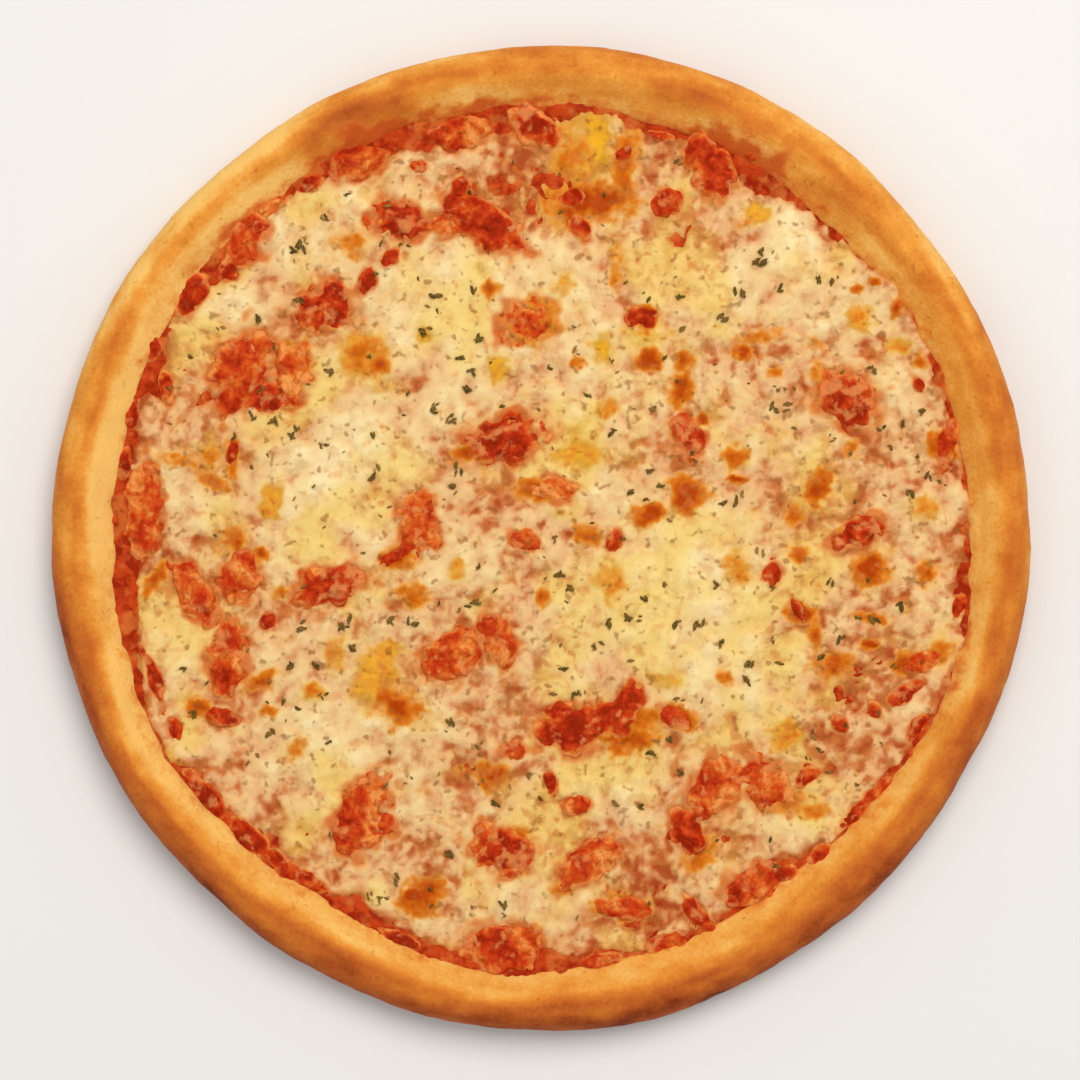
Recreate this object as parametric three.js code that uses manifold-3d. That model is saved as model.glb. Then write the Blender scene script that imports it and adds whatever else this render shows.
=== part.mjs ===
// A baked margherita pizza, whole and uncut: a dough base with a raised rim, tomato sauce spread in its
// well, melted mozzarella with dried herb flakes on it, and chunks of tomato that stand in pockets in the
// cheese. Millimetres, +Z up. The underside lies on z = 0 with the origin at its centre; +Y is the far side.

import * as THREE from "three";
import { ParametricGeometry } from "three/addons/geometries/ParametricGeometry.js";
import { mergeVertices } from "three/addons/utils/BufferGeometryUtils.js";
import Module from "manifold-3d";

// Driving dimensions
const PIZZA_RADIUS = 150;
const RIM_WIDTH = 17;
const RIM_HEIGHT = 19;
const FOOT_SQUARENESS = 0.55; // 1 leaves the rim's foot as round as its crest
const BASE_THICKNESS = 6;
const SAUCE_THICKNESS = 1.6;
const SAUCE_BANK = 1.1; // how far the sauce rises against the rim
const CHEESE_THICKNESS = 2.9;
const CHEESE_EDGE = 0.9; // thickness of the cheese where it ends
const CHEESE_MARGIN = 4.6; // mean width of the sauce ring that the cheese leaves bare
const CHEESE_MARGIN_MIN = 2;
const CHEESE_TAPER = 0.09; // the outer share of the cheese over which it thins to its edge
const CHUNK_RISE = 1.6; // how far a tomato chunk stands above the cheese
const CHUNK_RISE_SPREAD = 0.5;
const GAP = 0.3; // clearance between touching pieces

// Heights that follow from them
const SAUCE_BOTTOM = BASE_THICKNESS + GAP;
const SAUCE_TOP = SAUCE_BOTTOM + SAUCE_THICKNESS;
const CHEESE_BOTTOM = SAUCE_TOP + GAP;
const CHEESE_RADIUS = PIZZA_RADIUS - RIM_WIDTH - CHEESE_MARGIN;

// How finely the pieces are faceted
const STEPS_AROUND = 80;
const RIM_STEPS = 10;
const CHEESE_GRID = 30;
const CHUNK_STEPS = 10;

// Waves round the edge: lobes, size in mm, and the angle in degrees of the first crest
const OUTLINE_WAVES = [
  [2, 0.65, 80],
  [3, 0.6, 41],
  [4, 0.5, 0],
  [5, 0.35, 65],
  [11, 0.25, 20],
];
const CREST_WAVES = [
  [2, 0.5, 200],
  [3, 0.5, 95],
  [7, 0.45, 12],
];
const CHEESE_EDGE_WAVES = [
  [13, 0.9, 8],
  [22, 0.9, 3],
  [37, 0.7, 5],
];

// Where a border leaves its mean line: angle and spread in degrees, and how far it goes outwards in mm
const WELL_DENTS = [
  [50, 14, -2],
  [210, 6, 2.6],
  [240, 8, -2],
  [265, 9, 3.2],
  [310, 14, -2.5],
  [345, 7, 2],
];
const CHEESE_DENTS = [
  [58, 5, -5],
  [100, 12, -2],
  [140, 5, -4],
  [182, 10, -5.5],
  [203, 8, -2.5],
  [243, 7, -3.5],
  [268, 6, -6],
  [306, 9, -4],
];

// Tomato chunks: x, y, length, width, and the turn of the length from +X in degrees
const TOMATO_CHUNKS = [
  [-93, 48, 25, 15, 62],
  [-77, 47, 18, 9, 97],
  [-22, 96, 27, 11, -32],
  [-46, 96, 19, 10, -6],
  [-68, 69, 16, 14, 30],
  [-93, 88, 15, 11, 55],
  [-5, 65, 15, 13, 20],
  [-13, 29, 22, 13, 12],
  [-122, 4, 25, 10, 88],
  [-59, 114, 18, 8, 22],
  [-26, 123, 17, 8, 5],
  [-4, 126, 13, 10, -30],
  [49, 113, 20, 11, -62],
  [93, 42, 19, 14, -38],
  [45, 31, 13, 9, -70],
  [96, 3, 15, 8, 25],
  [4, 14, 13, 7, -5],
  [-38, 3, 16, 11, -75],
  [-63, -17, 20, 11, 18],
  [-106, -20, 20, 9, -58],
  [-92, -15, 14, 11, 75],
  [-95, -40, 20, 11, 85],
  [-28, -37, 17, 13, 35],
  [-13, -34, 17, 9, -75],
  [-54, -85, 23, 14, 68],
  [-11, -97, 18, 13, -20],
  [-12, -126, 23, 12, 4],
  [9, -59, 19, 14, 5],
  [26, -54, 17, 8, 62],
  [53, -76, 20, 12, 52],
  [45, -91, 15, 8, -62],
  [69, -76, 18, 11, -48],
  [15, -101, 20, 9, 34],
  [65, -105, 17, 10, 28],
];

// How a chunk departs from a plain dome: the exponent of its outline, where 2 is a plain oval, the lobes
// on the outline as [lobes, share of the radius], and how deep the dips in its top are
const CHUNK_BLUNTNESS = 2.6;
const CHUNK_LOBES = [
  [3, 0.13],
  [5, 0.09],
];
const CHUNK_DIP = 0.16;

// Half section of a chunk, as shares of its half width and of its rise
const CHUNK_PROFILE = [
  [0, 0],
  [1, 0],
  [0.93, 0.5],
  [0.55, 0.88],
  [0, 1],
];

// Browned blisters in the cheese: x, y and diameter
const BLISTERS = [
  [-35, -111, 15],
  [44, 13, 12],
  [33, 7, 10],
  [-56, 56, 15],
  [16, 121, 16],
  [14, 103, 16],
  [42, 45, 10],
  [60, 26, 9],
  [86, 17, 10],
  [91, -36, 12],
  [77, -60, 9],
  [-47, -50, 17],
  [-38, -19, 10],
  [-45, -7, 10],
  [-14, -72, 10],
  [30, 67, 9],
  [27, -114, 13],
  [97, 69, 8],
];
const BLISTER_RISE = 0.11; // height of a blister's dome, as a share of its diameter
const BLISTER_FALL = 6; // how steeply the dome falls to its edge

// Lumps of melted shreds: wavelength in mm and height in mm
const CHEESE_LUMPS = [
  [61, 0.35],
  [37, 0.4],
  [23, 0.35],
];

// Herb flakes, the largest first
const FLAKE_COUNT = 66;
const FLAKE_LENGTH = 3.4;
const FLAKE_SHRINK = 0.4; // how much shorter the last flake is than the first, as a share
const FLAKE_WIDTH = 1.3;
const FLAKE_TAPER = 0.5; // how much narrower a flake's ends are, as a share
const FLAKE_THICKNESS = 0.7;
const FLAKE_CURL = 0.35;
const FLAKE_REACH = 0.93; // radius of the sprinkled area, as a share of the cheese's
const FLAKE_CLEARANCE = 3; // from the chunks

// Steps of sequences that never repeat and spread evenly
const GOLDEN_ANGLE = Math.PI * (3 - Math.sqrt(5));
const SPREAD_OUT = 0.754877666;
const SPREAD_ROUND = 0.569840291;
const SPREAD_TURN = Math.SQRT2;

// Surfaces
const COLOURS = { dough: 0xdc913f, sauce: 0xb5301a, cheese: 0xf0cd8c, tomato: 0xc83a1e };
const ROUGHNESS = { dough: 0.75, sauce: 0.35, cheese: 0.5, tomato: 0.35 };

const wasm = await Module();
wasm.setup();

const radians = THREE.MathUtils.degToRad;
const wavesAt = (angle, waves) =>
  waves.reduce((sum, [lobes, size, crest]) => sum + size * Math.cos(lobes * (angle - radians(crest))), 0);

// The shortest way from one angle to another, so that a dent may straddle zero degrees
const turnBetween = (a, b) => Math.atan2(Math.sin(a - b), Math.cos(a - b));
const dentsAt = (angle, dents) =>
  dents.reduce((sum, [at, spread, by]) => {
    const away = turnBetween(angle, radians(at)) / radians(spread);
    return sum + by * Math.exp(-away * away);
  }, 0);

const outerRadius = (angle) => PIZZA_RADIUS + wavesAt(angle, OUTLINE_WAVES);
const wellRadius = (angle) => PIZZA_RADIUS - RIM_WIDTH + dentsAt(angle, WELL_DENTS);
const crestHeight = (angle) => RIM_HEIGHT + wavesAt(angle, CREST_WAVES);

function cheeseRadius(angle) {
  const raggedness = dentsAt(angle, CHEESE_DENTS) + wavesAt(angle, CHEESE_EDGE_WAVES);
  return wellRadius(angle) - Math.max(CHEESE_MARGIN - raggedness, CHEESE_MARGIN_MIN);
}

// A closed body that is swept round Z: section(angle) gives its [radius, height] points, from the axis at
// the bottom to the axis at the top
function revolved(section, steps = STEPS_AROUND) {
  const rows = section(0).length - 1;
  const place = (around, along, target) => {
    const angle = (around % 1) * 2 * Math.PI;
    const [radius, height] = section(angle)[Math.round(along * rows)];
    target.set(radius * Math.cos(angle), radius * Math.sin(angle), height);
  };
  return welded(new ParametricGeometry(place, steps, rows));
}

function welded(geometry) {
  geometry.deleteAttribute("normal");
  geometry.deleteAttribute("uv");
  return mergeVertices(geometry, 1e-3);
}

function solid(geometry) {
  return new wasm.Manifold(
    new wasm.Mesh({
      numProp: 3,
      vertProperties: geometry.getAttribute("position").array,
      triVerts: new Uint32Array(geometry.index.array),
    }),
  );
}

// The largest body of a solid as a geometry, without scraps that a cut leaves loose
function geometryOf(body) {
  const [largest] = body.decompose().sort((a, b) => b.volume() - a.volume());
  const mesh = largest.getMesh();
  return new THREE.BufferGeometry()
    .setAttribute("position", new THREE.BufferAttribute(mesh.vertProperties, 3))
    .setIndex(new THREE.BufferAttribute(mesh.triVerts, 1));
}

// Dough: a flat underside, a rounded rim with a squarer foot, and the floor of the well
function doughSection(angle) {
  const outer = outerRadius(angle);
  const inner = wellRadius(angle);
  const half = (outer - inner) / 2;
  const rise = crestHeight(angle) / 2;
  const rim = Array.from({ length: RIM_STEPS + 1 }, (_, step) => {
    const turn = -Math.PI / 2 + (1.5 * Math.PI * step) / RIM_STEPS;
    const swell = turn < 0 ? Math.cos(turn) ** FOOT_SQUARENESS : Math.cos(turn);
    return [(outer + inner) / 2 + half * swell, rise + rise * Math.sin(turn)];
  });
  return [[0, 0], ...rim, [inner, BASE_THICKNESS], [0, BASE_THICKNESS]];
}

// Sauce: level under the cheese, banked up against the rim outside it
function sauceSection(angle) {
  const edge = wellRadius(angle) - GAP;
  const bare = cheeseRadius(angle) + GAP;
  return [
    [0, SAUCE_BOTTOM],
    [edge, SAUCE_BOTTOM],
    [edge, SAUCE_TOP + SAUCE_BANK],
    [(edge + bare) / 2, SAUCE_TOP + SAUCE_BANK / 2],
    [bare, SAUCE_TOP],
    [0, SAUCE_TOP],
  ];
}

// Height of the cheese's top face above its own flat underside
function cheeseThickness(x, y, share) {
  const lumps = CHEESE_LUMPS.reduce((sum, [wavelength, height], i) => {
    const heading = (i + 1) * GOLDEN_ANGLE;
    const along = (2 * Math.PI * (x * Math.cos(heading) + y * Math.sin(heading))) / wavelength;
    const across = (2 * Math.PI * (y * Math.cos(heading) - x * Math.sin(heading))) / wavelength;
    return sum + height * Math.sin(along) * Math.cos(across);
  }, 0);
  const domes = BLISTERS.reduce((sum, [bx, by, size]) => {
    const away = Math.hypot(x - bx, y - by) / size;
    return sum + BLISTER_RISE * size * Math.exp(-BLISTER_FALL * away * away);
  }, 0);
  const inside = THREE.MathUtils.smoothstep(1 - share, 0, CHEESE_TAPER);
  return THREE.MathUtils.lerp(CHEESE_EDGE, CHEESE_THICKNESS + lumps + domes, inside);
}

// Spreads a square grid over a disc, so that its cells stay nearly equal
function squareToDisc(a, b) {
  if (a === 0 && b === 0) return [0, 0];
  const wide = Math.abs(a) > Math.abs(b);
  const share = wide ? a : b;
  const turn = wide ? (Math.PI / 4) * (b / a) : Math.PI / 2 - (Math.PI / 4) * (a / b);
  return [share * Math.cos(turn), share * Math.sin(turn)];
}

// Cheese: a sheet that thins towards its ragged edge. It reaches down to z = 0, and levelled() trims it.
function cheeseSheet() {
  const sheet = welded(new THREE.BoxGeometry(2, 2, 1, CHEESE_GRID, CHEESE_GRID, 1));
  const place = sheet.getAttribute("position");
  for (let i = 0; i < place.count; i++) {
    const [a, b] = squareToDisc(place.getX(i), place.getY(i));
    const share = Math.hypot(a, b);
    const angle = Math.atan2(b, a);
    const radius = CHEESE_RADIUS * share + (cheeseRadius(angle) - CHEESE_RADIUS) * share ** 5;
    const [x, y] = [radius * Math.cos(angle), radius * Math.sin(angle)];
    place.setXYZ(i, x, y, place.getZ(i) > 0 ? CHEESE_BOTTOM + cheeseThickness(x, y, share) : 0);
  }
  return sheet;
}

function levelled(body) {
  const below = new THREE.BoxGeometry(3 * PIZZA_RADIUS, 3 * PIZZA_RADIUS, 2 * CHEESE_BOTTOM);
  return body.subtract(solid(welded(below)));
}

// A tomato chunk: a dome of uneven outline with a flat underside. grow widens it for the pocket round it.
function chunk([x, y, length, width, turn], order, grow = 0) {
  const rise = CHEESE_THICKNESS + CHUNK_RISE + CHUNK_RISE_SPREAD * Math.sin(3 * order);
  const section = (angle) => {
    const ends = Math.abs((2 * Math.cos(angle)) / length) ** CHUNK_BLUNTNESS;
    const sides = Math.abs((2 * Math.sin(angle)) / width) ** CHUNK_BLUNTNESS;
    const lobes = CHUNK_LOBES.reduce((sum, [count, by]) => sum + by * Math.sin(count * angle + order), 1);
    const radius = (ends + sides) ** (-1 / CHUNK_BLUNTNESS) * lobes;
    const dip = 1 - CHUNK_DIP * Math.sin(2 * angle + order) ** 2;
    return CHUNK_PROFILE.map(([out, up]) => [
      out > 0 ? out * radius + grow : 0,
      up > 0 ? up * rise * (out > 0 ? dip : 1) + grow : 0,
    ]);
  };
  const base = CHEESE_BOTTOM - (grow > 0 ? GAP / 2 : 0);
  return revolved(section, CHUNK_STEPS).rotateZ(radians(turn)).translate(x, y, base);
}

// The room inside the rim, which trims the chunks that lean on the rim
function wellSection(angle) {
  const edge = wellRadius(angle) - GAP;
  return [[0, 0], [edge, 0], [edge, RIM_HEIGHT], [0, RIM_HEIGHT]];
}

// The same spread of numbers from 0 to 1 on every run
const spread = (order, step) => (0.5 + order * step) % 1;

const clearOfChunks = (x, y) =>
  TOMATO_CHUNKS.every(([cx, cy, length]) => Math.hypot(x - cx, y - cy) > length / 2 + FLAKE_CLEARANCE);

// A herb flake: a thin curled leaf scrap, pressed a little into the cheese that it lies on
function flake(ground, order) {
  const length = FLAKE_LENGTH * (1 - (FLAKE_SHRINK * order) / FLAKE_COUNT);
  const geometry = welded(new THREE.BoxGeometry(length, FLAKE_WIDTH, FLAKE_THICKNESS, 2, 1, 1));
  const place = geometry.getAttribute("position");
  for (let i = 0; i < place.count; i++) {
    const along = (2 * place.getX(i)) / length;
    place.setY(i, place.getY(i) * (1 - FLAKE_TAPER * Math.abs(along)));
    place.setZ(i, place.getZ(i) + FLAKE_CURL * along * along);
  }
  const lie = new THREE.Quaternion().setFromUnitVectors(new THREE.Vector3(0, 0, 1), ground.face.normal);
  return geometry
    .rotateZ(spread(order, SPREAD_TURN) * 2 * Math.PI)
    .applyQuaternion(lie)
    .translate(ground.point.x, ground.point.y, ground.point.z + FLAKE_THICKNESS / 5);
}

// The flakes on a sheet of cheese, left out where a chunk stands
function flakesOn(sheet) {
  const surface = new THREE.Mesh(sheet);
  const down = new THREE.Vector3(0, 0, -1);
  const ray = new THREE.Raycaster();
  const made = [];
  for (let order = 0; order < FLAKE_COUNT; order++) {
    const radius = FLAKE_REACH * CHEESE_RADIUS * Math.sqrt(spread(order, SPREAD_OUT));
    const angle = 2 * Math.PI * spread(order, SPREAD_ROUND);
    const above = new THREE.Vector3(radius * Math.cos(angle), radius * Math.sin(angle), RIM_HEIGHT);
    ray.set(above, down);
    const [ground] = ray.intersectObject(surface);
    if (clearOfChunks(above.x, above.y)) made.push(flake(ground, order));
  }
  return made;
}

function piece(name, kind, geometry) {
  const material = new THREE.MeshStandardMaterial({
    color: COLOURS[kind],
    roughness: ROUGHNESS[kind],
    metalness: 0,
    flatShading: true,
  });
  const mesh = new THREE.Mesh(geometry, material);
  mesh.name = name;
  return mesh;
}

const well = solid(revolved(wellSection));
const chunks = TOMATO_CHUNKS.map((place, order) => geometryOf(solid(chunk(place, order)).intersect(well)));
const pockets = TOMATO_CHUNKS.map((place, order) => solid(chunk(place, order, GAP)));
const cutByChunks = (geometry) => pockets.reduce((left, pocket) => left.subtract(pocket), solid(geometry));

const sheet = cheeseSheet();
const bareCheese = levelled(cutByChunks(sheet));
const herbedCheese = flakesOn(sheet).reduce((joined, scrap) => joined.add(solid(scrap)), bareCheese);

const pizza = new THREE.Group();
pizza.add(
  piece("dough", "dough", revolved(doughSection)),
  piece("sauce", "sauce", geometryOf(cutByChunks(revolved(sauceSection)))),
  piece("cheese", "cheese", geometryOf(herbedCheese)),
  ...chunks.map((geometry, order) =>
    piece(`tomato_${String(order + 1).padStart(2, "0")}`, "tomato", geometry),
  ),
);

export default pizza;
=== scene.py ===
import math
from collections import namedtuple

import bpy
import numpy as np
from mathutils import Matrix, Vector


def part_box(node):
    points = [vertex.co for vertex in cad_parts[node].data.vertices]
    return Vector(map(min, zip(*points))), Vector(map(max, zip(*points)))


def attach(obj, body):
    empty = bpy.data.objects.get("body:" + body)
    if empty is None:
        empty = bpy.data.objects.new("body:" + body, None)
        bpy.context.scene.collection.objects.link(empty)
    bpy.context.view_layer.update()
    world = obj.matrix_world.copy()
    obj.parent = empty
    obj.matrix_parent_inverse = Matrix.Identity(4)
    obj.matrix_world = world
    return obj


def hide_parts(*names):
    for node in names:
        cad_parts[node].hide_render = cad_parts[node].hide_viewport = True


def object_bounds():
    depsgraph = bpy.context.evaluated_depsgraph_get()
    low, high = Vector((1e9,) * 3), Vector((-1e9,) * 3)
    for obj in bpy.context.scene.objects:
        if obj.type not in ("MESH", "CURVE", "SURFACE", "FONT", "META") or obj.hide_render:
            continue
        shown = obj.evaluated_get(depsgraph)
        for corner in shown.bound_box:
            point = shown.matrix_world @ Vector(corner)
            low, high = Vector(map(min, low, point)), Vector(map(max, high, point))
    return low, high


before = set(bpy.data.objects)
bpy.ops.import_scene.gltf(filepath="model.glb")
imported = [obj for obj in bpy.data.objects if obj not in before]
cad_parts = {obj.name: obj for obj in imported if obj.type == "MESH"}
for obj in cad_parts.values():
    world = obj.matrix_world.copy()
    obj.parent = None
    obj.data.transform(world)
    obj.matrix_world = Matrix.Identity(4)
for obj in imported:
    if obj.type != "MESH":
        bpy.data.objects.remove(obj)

cad_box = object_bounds()

# --- Sizes ---

MM = 0.001
TOUCHING = 0.05 * MM  # vertices this near to a level or a ring are on it
ALL_ROUND = np.linspace(0, 2 * np.pi, 360)

# Heights above the pizza's underside, in metres
SAUCE_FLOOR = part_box("sauce")[0].z
CHEESE_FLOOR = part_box("cheese")[0].z
SAUCE_LEVEL = CHEESE_FLOOR + 0.2 * MM
WELL_FLOOR = SAUCE_FLOOR - 0.3 * MM

# In millimetres: the usual thickness of the cheese, and how far the tomato rises above the sauce
CHEESE_THICKNESS = 2.0
FULL_COVER = 3.5  # cheese this thick hides the sauce altogether
CHUNK_RISE = 4.1
BIT_RISE = 3.1
LUMP_REACH = 1.45  # how far a lump of tomato spreads under the cheese, in shares of its own oval
FAR = 9.0  # a share of an oval's size at which a point has nothing to do with it

# How fine things are: spokes on which solids are measured, sides and steps of the crust, cells of grids
SPOKES = 80
CRUST_SIDES = 960
RIM_SEGMENTS = 14
FOOT_SEGMENTS = 8
WELL_SEGMENTS = 3
WALL_LOOPS = 5
WEIGHT_STEPS = 20
SAUCE_CELLS = 250
CHEESE_CELLS = 304
CHUNK_CELLS = 46
BIT_CELLS = 26

# The crust's smaller sizes, in metres, and how many small bubbles are on its rim
FOOT_BEVEL = 4.5 * MM
WELL_BEVEL = 2.0 * MM
LOWEST_LOOP = 4.6 * MM
LIP_LEVEL = 9.5 * MM
RIM_MIDDLE = 141 * MM
RIM_BUBBLES = 40
STREAK_STRETCH = 5  # how many times longer the browned streaks are along the rim than across it
# What swells and wrinkles the rim: a texture, the size of its lumps, its finer layers, and its push
RIM_SWELLS = [
    ("swells", 30 * MM, 1, 1.5 * MM), ("wrinkles", 8 * MM, 1, 0.5 * MM), ("crumb", 3 * MM, 0, 0.15 * MM),
]

# Where the cheese lies thick or thin: x, y and size in millimetres, and how much thicker or thinner
CHEESE_HEAPS = [
    (-80, 100, 20, 1.0), (-95, 72, 14, 0.9), (-38, 78, 20, 1.1), (-30, 60, 24, 1.1), (-70, 30, 24, 0.8),
    (-62, 12, 20, 0.9), (10, 48, 18, 0.8), (38, -25, 28, 1.2), (60, -45, 22, 1.1), (30, -75, 16, 0.8),
    (76, -90, 13, 1.0), (80, 84, 22, 1.2), (60, 68, 18, 0.8), (-62, -72, 16, 1.0), (-113, -38, 13, 1.0),
    (-35, 114, 11, 0.5), (-5, -113, 14, 0.7), (10, -113, 14, 0.7), (-70, -58, 15, 0.8), (112, -18, 12, 0.5),
    (-116, 27, 11, 0.8), (50, -8, 18, 0.9), (0, 82, 16, 1.2), (-22, -56, 12, 0.7), (112, 14, 11, 0.6),
    (-106, 6, 11, 1.0), (76, 100, 12, 0.8), (-62, 105, 12, 0.7), (52, -105, 10, 0.8), (20, 8, 9, 0.9),
    (108, 44, 12, 0.9), (-10, 4, 7, 1.0), (-56, -15, 12, 0.3), (-78, 16, 14, 0.7), (-105, -30, 8, 0.4),
    (68, 30, 13, 0.7), (30, -10, 16, 0.6), (-50, 30, 16, 0.6), (-30, -12, 14, 0.8), (-46, -112, 9, 0.5),
    (-88, -84, 12, 0.5), (-112, -68, 9, 0.5), (70, -12, 12, 0.4), (118, 60, 8, 0.4), (-80, -40, 10, 0.6),
    (20, 70, 12, 0.4), (-50, -62, 9, 0.5), (100, 75, 9, 0.4), (88, -92, 7, 0.4),
]
CHEESE_THINS = [
    (-12, 112, 15, 1.5), (3, 103, 13, 1.3), (-42, 46, 5, 1.1), (-33, 54, 5, 1.1), (-74, 31, 5, 1.0),
    (28, 92, 11, 0.8), (88, 46, 12, 1.0), (103, 30, 9, 0.8), (32, -104, 15, 0.95), (96, -50, 15, 0.9),
    (88, -68, 14, 0.9), (57, -43, 7, 0.7), (104, -32, 11, 0.8), (-120, 45, 11, 1.4), (-118, 58, 9, 1.1),
    (-104, 20, 10, 0.9), (-100, -8, 11, 0.9), (-45, 10, 8, 0.7), (-10, 14, 10, 0.8), (26, 0, 8, 0.8),
    (12, -3, 8, 0.7), (-22, -32, 11, 0.7), (0, -52, 10, 0.8), (5, -92, 12, 0.9), (20, -120, 12, 0.9),
    (40, -122, 12, 1.2), (-20, -75, 8, 0.5), (-30, -98, 8, 0.4), (-82, -24, 9, 0.8), (-20, 28, 12, 0.8),
    (74, 8, 10, 0.8), (78, -24, 12, 1.0), (46, 98, 12, 1.2), (62, 60, 9, 0.8), (-76, 56, 9, 0.8),
    (-50, 90, 9, 0.8), (-24, 106, 9, 1.0), (-112, 35, 8, 0.8), (124, -8, 9, 1.0), (58, -95, 11, 0.9),
    (40, 28, 9, 0.6), (70, 58, 8, 0.7), (-68, 70, 10, 0.5), (-94, 20, 8, 0.8), (25, -58, 14, 1.0),
    (-88, 44, 14, 0.9), (48, -78, 14, 0.8), (-96, -48, 12, 0.9), (-82, -92, 9, 0.7), (-112, -12, 9, 0.9),
    (85, 14, 10, 0.7), (97, -6, 12, 0.7), (124, 25, 9, 0.9), (-92, -76, 8, 0.5), (28, -36, 7, 0.5),
    (5, -38, 8, 0.4), (-10, -62, 9, 0.6), (112, 66, 8, 0.8), (80, 68, 6, 0.3), (-70, -98, 11, 0.8),
    (60, -58, 9, 0.5), (-80, 62, 8, 0.4), (-20, -60, 10, 0.6), (-26, -85, 10, 0.4),
]
# How far the cheese reaches past its solid's edge: degrees, and millimetres
CHEESE_REACH = [
    (0, 3), (30, 4), (50, 3), (62, 1.5), (74, 1), (82, 3), (89, 1), (95, -0.5), (108, -0.5), (116, 1.5),
    (132, 2), (150, 2.5), (165, 1), (180, -1), (195, 2), (208, 5), (216, 0.5), (232, 0.5), (241, 5),
    (248, 0.5), (270, 0.5), (285, 3), (300, 4), (315, 2), (335, 3.5), (360, 3),
]

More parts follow.
